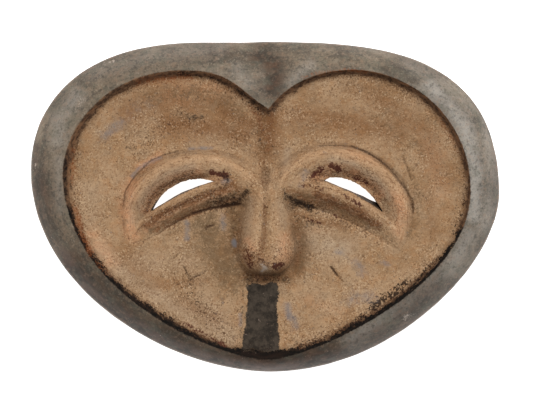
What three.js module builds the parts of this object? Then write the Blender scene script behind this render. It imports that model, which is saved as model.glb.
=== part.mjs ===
// A wide wooden face mask of Central African kind, carved from one block. A bevelled frame runs round a sunk,
// heart-shaped face with a long nose, hooded eyes and two slits cut right through. The back is hollowed out.
// The mask lies face up on the flat edge of its back. X runs across the face, +Y to the forehead, +Z out of the
// face, and the origin is the middle of the box on the plane that the back edge rests on. Millimetres.

import * as THREE from 'three';

// Heights above the resting plane
const EDGE_Z = 17;          // front corner of the frame, at the outline
const HEEL_Z = 5;           // where the side starts to turn in to the back edge
const LIP_Z = 40;           // the lip round the face, at the middle of the mask
const CROWN_X = 6;          // how far the front falls away at the left and right ends
const CROWN_Y = 5.5;        // and at the top and bottom
const STEP = 4;             // the cut from the lip down to the face
const DISH_DEPTH = 9.5;     // how far the face sinks again towards its middle
const HOLLOW_Z = 18;        // height of the hollow in the back, at its middle
const HOLLOW_RISE = 4;      // and how much higher it would be at its rim, had it no sides
const HOLLOW_POWER = 5;     // a higher power makes the hollow's sides steeper

// Widths seen from the front
const HALF_X = 159.7;
const HALF_Y = 112.5;
const STEP_RUN = 2.6;       // width of the cut below the lip, on the right side and below
const STEP_RUN_LEFT = 4.8;  // and on the left, where the cut leans more
const STEP_BLEND = [-70, 10];
const DISH_RUN = 62;        // the face is level from this far inside the lip
const DISH_POWER = 2.2;
const BACK_INSET = 4;       // the back edge lies this far inside the outline
const FLANGE = 13;          // and is this wide, up to the hollow
const CORNER = 1.2;         // rounding between the frame's front and its side
const SOFT = 2.6;           // hollow left by the knife where two carved forms meet

// The frame falls evenly by a share of its height, and by the rest ever faster towards the outline
const FALL_EVEN = 0.3;
const FALL_POWER = 2.6;

// The two closed outlines, as cubic curves: a node, two handles, the next node and so on
const OUTLINE = [
  [-42.5, 112.1], [44.7, 112.1], [159.7, 124.6], [159.7, 8.8], [159.7, -35.4], [91.6, -112.5], [3.2, -112.5],
  [-63.8, -112.5], [-159.7, -57.1], [-159.7, 25.2], [-159.7, 61.2], [-137, 112.1], [-42.5, 112.1],
];
const HEART = [
  [2.4, 66.2], [16.5, 84.8], [36.5, 92.8], [59.9, 92.8], [95, 92.8], [139.4, 64], [139.4, 10.5], [139.4, -56],
  [28.5, -103.8], [1.6, -103.8], [-28, -103.8], [-137, -61], [-137, 22], [-137, 54],
  [-107, 92.4], [-55.3, 92.4], [-23, 92.4], [-21.2, 81.4], [2.4, 66.2],
];
const CENTRE = [1, -4];     // both outlines are seen whole from this point

// Each eye: the crest of the brow and of the lower lid from the outer corner to the nose, and the slit's two edges.
// shift is how far the slit's outer end moves in, and how far up, on its way to the back.
const EYES = [
  {
    side: -1,
    shift: [1.5, 1.2],
    brow: [[-92, -22], [-104, 29], [-31, 52.5], [-3, 9]],
    lid: [[-89, -20], [-76, 0], [-46, 18], [-12, 16]],
    slitTop: [[-78, -3.5], [-71.9, 10.7], [-54.1, 23.4], [-35, 17.2]],
    slitBottom: [[-78, -3.5], [-56.4, 9.7], [-47.9, 12.4], [-35, 17.2]],
  },
  {
    side: 1,
    shift: [4.5, 7.4],
    brow: [[91, -24], [113, 25], [31, 64], [8, 9]],
    lid: [[89, -20], [74, 3], [46, 20], [12, 13]],
    slitTop: [[80.8, -4.9], [68.5, 19.8], [46.3, 23.1], [40.6, 18]],
    slitBottom: [[80.8, -4.9], [59.3, 13], [35.2, 18.3], [40.6, 18]],
  },
];
const SLIT_TOP_LIFT = 1.5;  // the slit's upper edge leans up this much on its way to the back
const SLIT_BOTTOM_LIFT = 1; // and its lower edge this much
const SHIFT_POWER = 3;      // a higher power keeps the shift upwards nearer to the outer end

// Rise above the face and width of both slopes, at even steps from the outer corner to the nose
const BROW = {
  rise: [1, 8, 9, 8.5, 9.5],
  outer: [4, 5.4, 5.8, 6.5, 8],
  inner: [6, 12, 13.5, 16, 14],
  power: 2.2,
};
const LID = {
  rise: [0.5, 7, 8.5, 9],
  outer: [4, 13.5, 14.5, 15],
  inner: [3, 4, 7, 14],
  power: 2.1,
};
// The nose: half its width and its rise at even steps from top to bottom, rounded off below the tip
const NOSE = {
  x: 1,
  top: 26,
  tip: -30,
  bottom: -46.5,
  half: [6, 10.3, 15.3, 18, 20, 19],
  rise: [-4, 9.5, 12.5, 15, 18, 17.5],
  power: 2.8,
  endWidth: 0.1,
  endPower: 4,
};

// Spacing of the facets
const RING_STEP = 6;        // along the outline and the back edge
const FRAME_RINGS = [5, 11];
const HOLLOW_RINGS = [17, 21, 26];
const LIP_STEP = 4.2;
const LINE_STEP = 3.2;      // along the crests, the creases and the slits
const LINE_GAP = 2.2;       // least distance between points of neighbouring lines
const FOOT_SHARE = 1.15;    // the foot of the cut below the lip lies a little past its width
const GRID = 3.5;           // over the eyes and the nose; half as many rows and columns elsewhere
const BACK_GRID = 9;
const FEATURE = 0.25;       // a rise above the plain face that calls for the fine grid
const CLEAR = 0.9;          // no grid point is nearer to another point than this share of the grid
const CURVE_STEP = 2;
const CREST_STEP = 1;

const { clamp, lerp, smoothstep } = THREE.MathUtils;

// Points at even steps along a chain of cubic curves, nodes included
function trace(chain, step) {
  const points = [];
  for (let i = 0; i + 3 < chain.length; i += 3) {
    const [a, b, c, d] = chain.slice(i, i + 4).map(([x, y]) => new THREE.Vector2(x, y));
    const part = new THREE.CubicBezierCurve(a, b, c, d);
    const spaced = part.getSpacedPoints(Math.max(2, Math.round(part.getLength() / step)));
    spaced.pop();
    points.push(...spaced.map((p) => [p.x, p.y]));
  }
  points.push([...chain.at(-1)]);
  return points;
}

// The nearest place on a line: its distance, its share of the length, and the side it is seen from, +1 for left
function nearest(line, x, y) {
  let best = { d: Infinity };
  for (let i = 0; i + 1 < line.length; i++) {
    const [ax, ay] = line[i];
    const [ux, uy] = [line[i + 1][0] - ax, line[i + 1][1] - ay];
    const t = clamp(((x - ax) * ux + (y - ay) * uy) / (ux * ux + uy * uy), 0, 1);
    const [px, py] = [x - ax - t * ux, y - ay - t * uy];
    const d = Math.hypot(px, py);
    if (d < best.d) {
      const side = d > 0 ? (ux * py - uy * px) / (Math.hypot(ux, uy) * d) : 1;
      best = { d, s: (i + t) / (line.length - 1), side };
    }
  }
  return best;
}

const reach = (x, y) => Math.hypot(x - CENTRE[0], y - CENTRE[1]);

// Radius of a closed outline in each direction from CENTRE
function polar(outline) {
  const bearing = (x, y) => Math.atan2(y - CENTRE[1], x - CENTRE[0]);
  const table = outline.slice(1).map(([x, y]) => [bearing(x, y), reach(x, y)]);
  table.sort((a, b) => a[0] - b[0]);
  const [first, last] = [table[0], table.at(-1)];
  const ring = [[last[0] - 2 * Math.PI, last[1]], ...table, [first[0] + 2 * Math.PI, first[1]]];
  return (x, y) => {
    const angle = bearing(x, y);
    const i = ring.findIndex(([a]) => a > angle);
    const [a, b] = [ring[i - 1], ring[i]];
    return lerp(a[1], b[1], (angle - a[0]) / (b[0] - a[0]));
  };
}

// A smooth curve through evenly spaced values, read at share s
function along(values, s) {
  const u = clamp(s, 0, 1) * (values.length - 1);
  const i = Math.min(Math.floor(u), values.length - 2);
  const [p, q, r, t] = [i - 1, i, i + 1, i + 2].map((k) => values[clamp(k, 0, values.length - 1)]);
  const f = u - i;
  return q + 0.5 * f * (r - p + f * (2 * p - 5 * q + 4 * r - t + f * (3 * (q - r) + t - p)));
}

// The larger of two heights, with a small hollow where they cross
function carved(a, b) {
  const overlap = Math.max(SOFT - Math.abs(a - b), 0);
  return Math.max(a, b) + (overlap * overlap) / (4 * SOFT);
}

const outlineLine = trace(OUTLINE, CURVE_STEP);
const heartLine = trace(HEART, CURVE_STEP);
const outlineRadius = polar(outlineLine);
const heartRadius = polar(heartLine);
for (const eye of EYES) {
  eye.browLine = trace(eye.brow, CREST_STEP);
  eye.lidLine = trace(eye.lid, CREST_STEP);
}

const stepRun = (x) => lerp(STEP_RUN_LEFT, STEP_RUN, smoothstep(x, ...STEP_BLEND));
const lipZ = (x, y) => LIP_Z - CROWN_X * (x / HALF_X) ** 2 - CROWN_Y * (y / HALF_Y) ** 2;

// The frame: nearly level at the lip and steeper towards the outline, with a valley above the heart's notch
function frameZ(x, y) {
  const inner = nearest(heartLine, x, y).d;
  const outer = nearest(outlineLine, x, y).d;
  const t = inner / (inner + outer);
  return lerp(lipZ(x, y), EDGE_Z, FALL_EVEN * t + (1 - FALL_EVEN) * t ** FALL_POWER);
}

// The sunk face without its features
function dishZ(x, y) {
  const u = Math.min(nearest(heartLine, x, y).d / DISH_RUN, 1);
  return lipZ(x, y) - STEP - DISH_DEPTH * (1 - (1 - u) ** DISH_POWER);
}

// A carved ridge that rises from the face and falls away from its crest by a different slope on either side
function ridge(x, y, line, form, outerSide) {
  const { d, s, side } = nearest(line, x, y);
  const width = lerp(along(form.inner, s), along(form.outer, s), (1 + side * outerSide) / 2);
  const rise = along(form.rise, s);
  return rise - Math.max(rise, 1) * (d / width) ** form.power;
}

function nose(x, y) {
  const s = (NOSE.top - y) / (NOSE.top - NOSE.bottom);
  if (s < 0 || s > 1) return -Infinity;
  const pastTip = clamp((NOSE.tip - y) / (NOSE.tip - NOSE.bottom), 0, 1);
  const half = along(NOSE.half, s) * lerp(NOSE.endWidth, 1, Math.sqrt(1 - pastTip ** 2));
  const rise = along(NOSE.rise, s) * Math.sqrt(1 - pastTip ** NOSE.endPower);
  return rise - Math.max(rise, 1) * Math.abs((x - NOSE.x) / half) ** NOSE.power;
}

// What stands up from the plain face
function relief(x, y) {
  let z = carved(0, nose(x, y));
  for (const eye of EYES) {
    z = carved(z, ridge(x, y, eye.browLine, BROW, -eye.side));
    z = carved(z, ridge(x, y, eye.lidLine, LID, eye.side));
  }
  return z;
}

function faceZ(x, y) {
  const cut = 1 - smoothstep(nearest(heartLine, x, y).d, 0, stepRun(x));
  return dishZ(x, y) + relief(x, y) + STEP * cut;
}

const frontZ = (x, y) => (reach(x, y) < heartRadius(x, y) ? faceZ(x, y) : frameZ(x, y));

// The hollow: steep behind the frame and nearly flat behind the face
function backZ(x, y) {
  const share = clamp(reach(x, y) / (outlineRadius(x, y) - BACK_INSET - FLANGE), 0, 1);
  return (HOLLOW_Z + HOLLOW_RISE * share ** 2) * (1 - share ** HOLLOW_POWER);
}

// Delaunay triangles of a set of points, each counter-clockwise, by a sweep from left to right
function triangulate(points) {
  const far = 1e5;
  const all = [...points, [-far, -far], [far, -far], [0, far]];
  const withCircle = (i, j, k) => {
    const [[ax, ay], [bx, by], [cx, cy]] = [all[i], all[j], all[k]];
    const [ux, uy, vx, vy] = [bx - ax, by - ay, cx - ax, cy - ay];
    const [u2, v2, w] = [ux * ux + uy * uy, vx * vx + vy * vy, 2 * (ux * vy - uy * vx)];
    const [x, y] = [(vy * u2 - uy * v2) / w, (ux * v2 - vx * u2) / w];
    return { corners: [i, j, k], x: ax + x, y: ay + y, r2: x * x + y * y };
  };
  const n = points.length;
  const done = [];
  let open = [withCircle(n, n + 1, n + 2)];
  const sweep = points.map((_, i) => i).sort((a, b) => points[a][0] - points[b][0]);
  for (const i of sweep) {
    const rim = new Map();
    const still = [];
    for (const tri of open) {
      const [dx, dy] = [points[i][0] - tri.x, points[i][1] - tri.y];
      if (dx > 0 && dx * dx > tri.r2) {
        done.push(tri);
      } else if (dx * dx + dy * dy >= tri.r2) {
        still.push(tri);
      } else {
        const [a, b, c] = tri.corners;
        for (const [u, v] of [[a, b], [b, c], [c, a]]) {
          const key = `${Math.min(u, v)},${Math.max(u, v)}`;
          if (!rim.delete(key)) rim.set(key, [u, v]);
        }
      }
    }
    open = still;
    for (const [u, v] of rim.values()) open.push(withCircle(u, v, i));
  }
  return [...done, ...open].map((tri) => tri.corners).filter((corners) => corners.every((k) => k < n));
}

function insidePolygon(polygon, x, y) {
  let inside = false;
  polygon.forEach(([ax, ay], i) => {
    const [bx, by] = polygon[(i + 1) % polygon.length];
    if (ay > y !== by > y && x < ax + ((y - ay) * (bx - ax)) / (by - ay)) inside = !inside;
  });
  return inside;
}

// Triangles of the points, less those outside the rim or in a hole
function facets(points, rim, holes) {
  return triangulate(points).filter((corners) => {
    const x = corners.reduce((sum, k) => sum + points[k][0], 0) / 3;
    const y = corners.reduce((sum, k) => sum + points[k][1], 0) / 3;
    return insidePolygon(rim, x, y) && !holes.some((hole) => insidePolygon(hole, x, y));
  });
}

// A point moved towards CENTRE by a distance
function inset([x, y], distance) {
  const share = 1 - distance / reach(x, y);
  return [CENTRE[0] + (x - CENTRE[0]) * share, CENTRE[1] + (y - CENTRE[1]) * share];
}

// The slit as a clockwise ring of points on the front, and the ring that it comes out by on the back
function slitRings(eye) {
  const top = trace(eye.slitTop, LINE_STEP);
  const bottom = trace(eye.slitBottom, LINE_STEP);
  const front = [...top, ...bottom.slice(1, -1).reverse()];
  const [outer, inner] = [top[0], top.at(-1)];
  const [inwards, upwards] = eye.shift;
  const back = front.map(([x, y], i) => {
    const share = clamp((inner[0] - x) / (inner[0] - outer[0]), 0, 1);
    const lift = (i < top.length ? SLIT_TOP_LIFT : SLIT_BOTTOM_LIFT) * Math.sin(Math.PI * share);
    return [x - eye.side * inwards * share, y + lift + upwards * share ** SHIFT_POWER];
  });
  return eye.side < 0 ? { front, back } : { front: front.reverse(), back: back.reverse() };
}

// The line along the foot of a ridge's outer slope
function footLine(line, widths, outerSide) {
  return line.map(([x, y], i) => {
    const [a, b] = [line[Math.max(i - 1, 0)], line[Math.min(i + 1, line.length - 1)]];
    const width = (outerSide * along(widths, i / (line.length - 1))) / Math.hypot(b[0] - a[0], b[1] - a[1]);
    return [x - (b[1] - a[1]) * width, y + (b[0] - a[0]) * width];
  });
}

// Adds every point that is no nearer than gap to one that is kept already
function spread(points, gap, kept) {
  for (const [x, y] of points) {
    if (kept.every(([a, b]) => (a - x) ** 2 + (b - y) ** 2 >= gap * gap)) kept.push([x, y]);
  }
}

// Staggered rows of points over the mask, each with a mark for one in two rows and columns
function lattice(spacing) {
  const points = [];
  const rowStep = (spacing * Math.sqrt(3)) / 2;
  const rows = Math.ceil(HALF_Y / rowStep);
  const columns = Math.ceil(HALF_X / spacing);
  for (let row = -rows; row <= rows; row++) {
    for (let column = -columns; column <= columns; column++) {
      const x = (column + (row % 2 ? 0.5 : 0)) * spacing;
      points.push({ x, y: row * rowStep, coarse: row % 2 === 0 && column % 2 === 0 });
    }
  }
  return points;
}

function buildFront(rim, outline, slits) {
  const points = [...rim, ...slits.flatMap((slit) => slit.front)];
  const lip = trace(HEART, LIP_STEP).slice(0, -1);
  spread(lip, 1, points);
  spread(lip.map((p) => inset(p, stepRun(p[0]) * FOOT_SHARE)), LINE_GAP, points);
  for (const eye of EYES) {
    const [brow, lid] = [trace(eye.brow, LINE_STEP), trace(eye.lid, LINE_STEP)];
    spread(brow, LINE_GAP, points);
    spread(lid, LINE_GAP, points);
    spread(footLine(brow, BROW.outer, -eye.side), LINE_GAP, points);
    spread(footLine(lid, LID.outer, eye.side), LINE_GAP, points);
  }
  for (const depth of FRAME_RINGS) spread(outline.map((p) => inset(p, depth)), GRID * CLEAR, points);
  const loose = lattice(GRID).filter(({ x, y, coarse }) => {
    if (reach(x, y) > outlineRadius(x, y) - RING_STEP) return false;
    return coarse || (reach(x, y) < heartRadius(x, y) && relief(x, y) > FEATURE);
  });
  spread(loose.map(({ x, y }) => [x, y]), GRID * CLEAR, points);
  return { points, triangles: facets(points, rim, slits.map((slit) => slit.front)) };
}

function buildBack(rim, outline, slits) {
  const points = [...rim, ...slits.flatMap((slit) => slit.back)];
  for (const depth of HOLLOW_RINGS) spread(outline.map((p) => inset(p, depth)), GRID * CLEAR, points);
  const loose = lattice(BACK_GRID).filter(({ x, y }) => reach(x, y) < outlineRadius(x, y) - HOLLOW_RINGS.at(-1));
  spread(loose.map(({ x, y }) => [x, y]), BACK_GRID / 2, points);
  return { points, triangles: facets(points, rim, slits.map((slit) => slit.back)) };
}

// The closed solid: front, back, the side round them and the walls of the slits
function maskGeometry() {
  const outline = trace(OUTLINE, RING_STEP).slice(0, -1);
  const slits = EYES.map(slitRings);
  const front = buildFront(outline.map((p) => inset(p, CORNER)), outline, slits);
  const back = buildBack(outline.map((p) => inset(p, BACK_INSET)), outline, slits);
  const positions = [];
  const index = [];
  const add = (points, height) => {
    const start = positions.length / 3;
    for (const [x, y] of points) positions.push(x, y, height(x, y));
    return start;
  };
  const wall = (lower, upper, count) => {
    for (let i = 0; i < count; i++) {
      const j = (i + 1) % count;
      index.push(lower + i, upper + i, lower + j, lower + j, upper + i, upper + j);
    }
  };
  const frontStart = add(front.points, frontZ);
  const backStart = add(back.points, backZ);
  const shoulder = add(outline, () => EDGE_Z - 2 * CORNER);
  const heel = add(outline.map((p) => inset(p, BACK_INSET / 4)), () => HEEL_Z);
  for (const [a, b, c] of front.triangles) index.push(frontStart + a, frontStart + b, frontStart + c);
  for (const [a, b, c] of back.triangles) index.push(backStart + a, backStart + c, backStart + b);
  wall(shoulder, frontStart, outline.length);
  wall(heel, shoulder, outline.length);
  wall(backStart, heel, outline.length);
  let from = outline.length;
  for (const slit of slits) {
    wall(frontStart + from, backStart + from, slit.front.length);
    from += slit.front.length;
  }
  const geometry = new THREE.BufferGeometry();
  geometry.setAttribute('position', new THREE.Float32BufferAttribute(positions, 3));
  geometry.setIndex(index);
  geometry.computeVertexNormals();
  return geometry;
}

const wood = new THREE.MeshStandardMaterial({ color: 0x80644a, roughness: 0.9, metalness: 0 });
const mask = new THREE.Mesh(maskGeometry(), wood);
mask.name = 'mask';

const group = new THREE.Group();
group.add(mask);
export default group;
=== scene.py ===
# %% [markdown]
# # A Kwele mask in carved and painted wood
# The real mask is cut from one block of light wood. A dark, hand-polished frame runs round a sunk face in
# the shape of a heart, and the face wears a thick coat of ochre earth that has rubbed off in places.
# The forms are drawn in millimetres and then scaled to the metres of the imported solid, whose box the look has
# to fill.

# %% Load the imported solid
import math

import bpy
import numpy as np
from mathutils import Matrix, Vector
from mathutils.geometry import delaunay_2d_cdt


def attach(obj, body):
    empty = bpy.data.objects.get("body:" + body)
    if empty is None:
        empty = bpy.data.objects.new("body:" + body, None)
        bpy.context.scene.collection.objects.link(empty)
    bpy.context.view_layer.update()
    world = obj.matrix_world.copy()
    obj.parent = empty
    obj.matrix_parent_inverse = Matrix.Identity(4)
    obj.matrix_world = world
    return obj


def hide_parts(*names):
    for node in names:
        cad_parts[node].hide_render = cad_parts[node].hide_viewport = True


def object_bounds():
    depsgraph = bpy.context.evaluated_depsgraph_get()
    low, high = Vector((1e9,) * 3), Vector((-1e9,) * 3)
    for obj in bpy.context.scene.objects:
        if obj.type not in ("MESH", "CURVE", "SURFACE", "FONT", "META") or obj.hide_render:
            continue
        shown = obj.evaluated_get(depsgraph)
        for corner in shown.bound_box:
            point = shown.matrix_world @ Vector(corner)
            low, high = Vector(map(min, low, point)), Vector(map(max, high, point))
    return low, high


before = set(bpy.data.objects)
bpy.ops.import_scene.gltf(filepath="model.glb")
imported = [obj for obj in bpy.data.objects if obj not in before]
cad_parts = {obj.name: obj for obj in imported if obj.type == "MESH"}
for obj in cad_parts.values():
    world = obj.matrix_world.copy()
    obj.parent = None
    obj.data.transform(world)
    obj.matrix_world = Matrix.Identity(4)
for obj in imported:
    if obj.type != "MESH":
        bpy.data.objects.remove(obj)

solid_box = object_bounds()
MM = 0.001
print("solid box in mm:", [[round(v / MM, 2) for v in corner] for corner in solid_box])

# %% [markdown]
# ## Camera
# The photograph looks straight down on the mask from far away, so nothing in it converges. A long lens at
# four metres gives the same view. An orthographic camera would also do, but a real lens lets the other
# views of the same scene keep a natural depth.

# %% Camera
MM_PER_PIXEL = 0.6816
PHOTO_WIDTH = 533
LENS = 400
SENSOR = 36
FAR_CLIP = 20
AIM = Vector((1.02, 1.84, 14)) * MM

camera = bpy.data.objects.new("camera", bpy.data.cameras.new("camera"))
bpy.context.collection.objects.link(camera)
camera.data.lens = LENS
camera.data.sensor_width = SENSOR
camera.data.clip_end = FAR_CLIP
distance = PHOTO_WIDTH * MM_PER_PIXEL * MM * LENS / SENSOR
camera.location = AIM + Vector((0, 0, distance))
bpy.context.scene.camera = camera
print("camera stands", round(distance, 3), "m above the face")

# %% [markdown]
# ## Floor and light
# The photograph was taken on a bright table, with broad light from the forehead side: the undersides of the
# brows and of the nose are in soft shade, and the right side of the frame shines pale and cool. The largest
# panel stands beyond the forehead, a cooler one on the right gives the shine, one on the left opens the
# left side, and the sky fills the rest. The floor glows, as a light table does, so that it shows white
# through the eye slits.

# %% The floor
FLOOR_HALF = 4.0
FLOOR_DROP = 0.0001
PAPER = {"Base Color": (0.86, 0.86, 0.86, 1), "Roughness": 0.9, "Emission Color": (1, 1, 1, 1),
         "Emission Strength": 0.97}


def fill(node, values):
    """Sets inputs of a node by their names."""
    for name, value in values.items():
        node.inputs[name].default_value = value


def plain_floor():
    mesh = bpy.data.meshes.new("floor")
    h = FLOOR_HALF
    mesh.from_pydata([(-h, -h, 0), (h, -h, 0), (h, h, 0), (-h, h, 0)], [], [(0, 1, 2, 3)])
    floor = bpy.data.objects.new("floor", mesh)
    floor.location.z = -FLOOR_DROP
    bpy.context.collection.objects.link(floor)
    paper = bpy.data.materials.new("white_paper")
    paper.use_nodes = True
    fill(paper.node_tree.nodes["Principled BSDF"], PAPER)
    mesh.materials.append(paper)


plain_floor()
print("floor is", 2 * FLOOR_HALF, "m wide")

# %% The lights and the sky
# Each panel: place and size in metres, power in watts, and colour
PANELS = {
    "top_panel": ((0.5, 1.4, 1.8), 0.9, 33, (1.0, 0.99, 0.97)),
    "right_panel": ((1.8, 0.2, 1.1), 1.0, 15, (0.93, 0.97, 1.0)),
    "left_panel": ((-1.6, 0.2, 1.3), 1.0, 15, (1.0, 0.98, 0.95)),
}
SKY = {"Color": (1, 1, 1, 1), "Strength": 0.25}


def panel(name, place, size, power, colour):
    """A square soft light that faces the mask."""
    light = bpy.data.lights.new(name, "AREA")
    light.shape = "SQUARE"
    light.size = size
    light.energy = power
    light.color = colour
    lamp = bpy.data.objects.new(name, light)
    lamp.location = place
    lamp.rotation_euler = (-Vector(place)).to_track_quat("-Z", "Y").to_euler()
    bpy.context.collection.objects.link(lamp)


for name, given in PANELS.items():
    panel(name, *given)
sky = bpy.data.worlds.new("studio")
sky.use_nodes = True
fill(sky.node_tree.nodes["Background"], SKY)
bpy.context.scene.world = sky
bpy.context.scene.view_settings.view_transform = "Standard"
print("lights:", ", ".join(PANELS))

# %% [markdown]
# ## The lines of the carving
# A carver first draws on the block: the outline, the heart, the brows, the lids and the slits. Each is a
# chain of cubic curves here, in millimetres. Sampling them at even steps gives lines to which distances can
# be measured, and every height further down is a function of such distances.

# %% The drawn lines
OUTLINE = [
    [-42.5, 112.1], [44.7, 112.1], [159.7, 124.6], [159.7, 8.8], [159.7, -35.4], [91.6, -112.5],
    [3.2, -112.5], [-63.8, -112.5], [-159.7, -57.1], [-159.7, 25.2], [-159.7, 61.2], [-137, 112.1],
    [-42.5, 112.1],
]
HEART = [
    [2.4, 66.2], [16.5, 84.8], [36.5, 92.8], [59.9, 92.8], [95, 92.8], [139.4, 64], [139.4, 10.5],
    [139.4, -56], [28.5, -103.8], [1.6, -103.8], [-28, -103.8], [-137, -61], [-137, 22], [-137, 54],
    [-107, 92.4], [-55.3, 92.4], [-23, 92.4], [-21.2, 81.4], [2.4, 66.2],
]
CENTRE = np.array([1.0, -4.0])
EYES = [
    {
        "side": -1,
        "shift": (1.5, 1.2),
        "brow": [[-92, -22], [-104, 29], [-31, 52.5], [-3, 9]],
        "lid": [[-89, -20], [-76, 0], [-46, 18], [-12, 16]],
        "slit_top": [[-78, -3.5], [-71.9, 10.7], [-54.1, 23.4], [-35, 17.2]],
        "slit_bottom": [[-78, -3.5], [-56.4, 9.7], [-47.9, 12.4], [-35, 17.2]],
    },
    {
        "side": 1,
        "shift": (4.5, 7.4),
        "brow": [[91, -24], [113, 25], [31, 64], [8, 9]],
        "lid": [[89, -20], [74, 3], [46, 20], [12, 13]],
        "slit_top": [[80.8, -4.9], [68.5, 19.8], [46.3, 23.1], [40.6, 18]],
        "slit_bottom": [[80.8, -4.9], [59.3, 13], [35.2, 18.3], [40.6, 18]],
    },
]
print("curves in the outline:", len(OUTLINE) // 3, "and in the heart:", len(HEART) // 3)

# %% Points along a line
CURVE_STEP = 2
CREST_STEP = 1
CURVE_SAMPLES = 201


def trace(chain, step):
    """Points at even steps along a chain of cubic curves, nodes included."""
    chain = np.array(chain, float)
    parts = []
    t = np.linspace(0, 1, CURVE_SAMPLES)[:, None]
    for i in range(0, len(chain) - 3, 3):
        a, b, c, d = chain[i:i + 4]
        curve = a * (1 - t) ** 3 + 3 * b * (1 - t) ** 2 * t + 3 * c * (1 - t) * t ** 2 + d * t ** 3
        run = np.concatenate([[0], np.cumsum(np.hypot(*np.diff(curve, axis=0).T))])
        stops = np.linspace(0, run[-1], max(2, round(run[-1] / step)) + 1)[:-1]
        parts.append(np.column_stack([np.interp(stops, run, curve[:, k]) for k in (0, 1)]))
    parts.append(chain[-1:])
    return np.vstack(parts)


def line_length(line):
    return np.hypot(*np.diff(line, axis=0).T).sum()


outline_line = trace(OUTLINE, CURVE_STEP)
heart_line = trace(HEART, CURVE_STEP)
for eye in EYES:
    eye["brow_line"] = trace(eye["brow"], CREST_STEP)
    eye["lid_line"] = trace(eye["lid"], CREST_STEP)
print("outline is", round(float(line_length(outline_line))), "mm round")

# %% Distances from a line
TINY = 1e-6


def nearest(line, x, y):
    """Distance to a line, the share of its length at the nearest place, and the side, +1 for left of it."""
    best = np.full(x.shape, np.inf)
    share = np.zeros(x.shape)
    side = np.ones(x.shape)
    count = len(line) - 1
    for i in range(count):
        ux, uy = line[i + 1] - line[i]
        dx, dy = x - line[i][0], y - line[i][1]
        t = np.clip((dx * ux + dy * uy) / (ux * ux + uy * uy), 0, 1)
        px, py = dx - t * ux, dy - t * uy
        d = np.hypot(px, py)
        closer = d < best
        best[closer] = d[closer]
        share[closer] = (i + t[closer]) / count
        side[closer] = ((ux * py - uy * px) / (math.hypot(ux, uy) * np.maximum(d, TINY)))[closer]
    return best, share, side


def reach(x, y):
    return np.hypot(x - CENTRE[0], y - CENTRE[1])


def direction(x, y):
    return np.arctan2(y - CENTRE[1], x - CENTRE[0])


def polar(line):
    """The radius of a closed line in each direction from CENTRE."""
    ways = direction(*line[1:].T)
    order = np.argsort(ways)
    radii = reach(*line[1:].T)[order]

    def radius(x, y):
        return np.interp(direction(x, y), ways[order], radii, period=2 * math.pi)
    return radius


outline_radius = polar(outline_line)
heart_radius = polar(heart_line)
print("heart ends", round(float(reach(*heart_line.T).max())), "mm from the centre at most")

# %% [markdown]
# ## Heights of the frame, the face and the hollow
# A carved relief seen from the front never turns under itself, so one height above the table for each place
# is enough. These are the same heights as in the solid: a domed lip, a frame that falls ever faster to the
# rim, a dish inside the heart, and ridges for the brows, the lids and the nose that run into one another
# softly, as a knife leaves them. Sculpting by hand would give the same forms, but not the same size as the
# solid.

# %% Sizes of the forms
EDGE_Z = 17
HEEL_Z = 5
LIP_Z = 40
CROWN_X = 6
CROWN_Y = 5.5
HALF_X = 159.7
HALF_Y = 112.5
STEP = 4
STEP_RUN = 2.6
STEP_RUN_LEFT = 4.8
STEP_BLEND = (-70, 10)
DISH_DEPTH = 9.5
DISH_RUN = 62
DISH_POWER = 2.2
FALL_EVEN = 0.3
FALL_POWER = 2.6
HOLLOW_Z = 18
HOLLOW_RISE = 4
HOLLOW_POWER = 5
BACK_INSET = 4
FLANGE = 13
CORNER = 1.2
SOFT = 2.6
BROW = {"rise": [1, 8, 9, 8.5, 9.5], "outer": [4, 5.4, 5.8, 6.5, 8], "inner": [6, 12, 13.5, 16, 14],
        "power": 2.2}
LID = {"rise": [0.5, 7, 8.5, 9], "outer": [4, 13.5, 14.5, 15], "inner": [3, 4, 7, 14], "power": 2.1}
NOSE = {
    "x": 1,
    "top": 26,
    "tip": -30,
    "bottom": -46.5,
    "half": [6, 10.3, 15.3, 18, 20, 19],
    "rise": [-4, 9.5, 12.5, 15, 18, 17.5],
    "power": 2.8,
    "end_width": 0.1,
    "end_power": 4,
}
NOWHERE = -1e3
print("frame falls from", LIP_Z, "mm at its lip to", EDGE_Z, "mm at its rim")

# %% Smooth curves and soft joins
def along(values, share):
    """A smooth curve through evenly spaced values, read at a share of its length."""
    values = np.array(values, float)
    u = np.clip(share, 0, 1) * (len(values) - 1)
    i = np.minimum(u.astype(int), len(values) - 2)
    p, q, r, t = (values[np.clip(i + k, 0, len(values) - 1)] for k in (-1, 0, 1, 2))
    f = u - i
    return q + 0.5 * f * (r - p + f * (2 * p - 5 * q + 4 * r - t + f * (3 * (q - r) + t - p)))


def smoothstep(value, low, high):
    t = np.clip((value - low) / (high - low), 0, 1)
    return t * t * (3 - 2 * t)


def mix(a, b, share):
    return a + (b - a) * share


def carved(a, b):
    """The larger of two heights, with a small hollow where they cross."""
    overlap = np.maximum(SOFT - np.abs(a - b), 0)
    return np.maximum(a, b) + overlap ** 2 / (4 * SOFT)


print("a brow rises", round(float(along(BROW["rise"], 0.5)), 1), "mm halfway along")

# %% The lip and the frame
def lip_height(x, y):
    return LIP_Z - CROWN_X * (x / HALF_X) ** 2 - CROWN_Y * (y / HALF_Y) ** 2


def frame_height(x, y, to_lip):
    to_rim = nearest(outline_line, x, y)[0]
    t = to_lip / np.maximum(to_lip + to_rim, TINY)
    return mix(lip_height(x, y), EDGE_Z, FALL_EVEN * t + (1 - FALL_EVEN) * t ** FALL_POWER)


print("lip is", lip_height(HALF_X, 0), "mm high at its sides")

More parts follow.
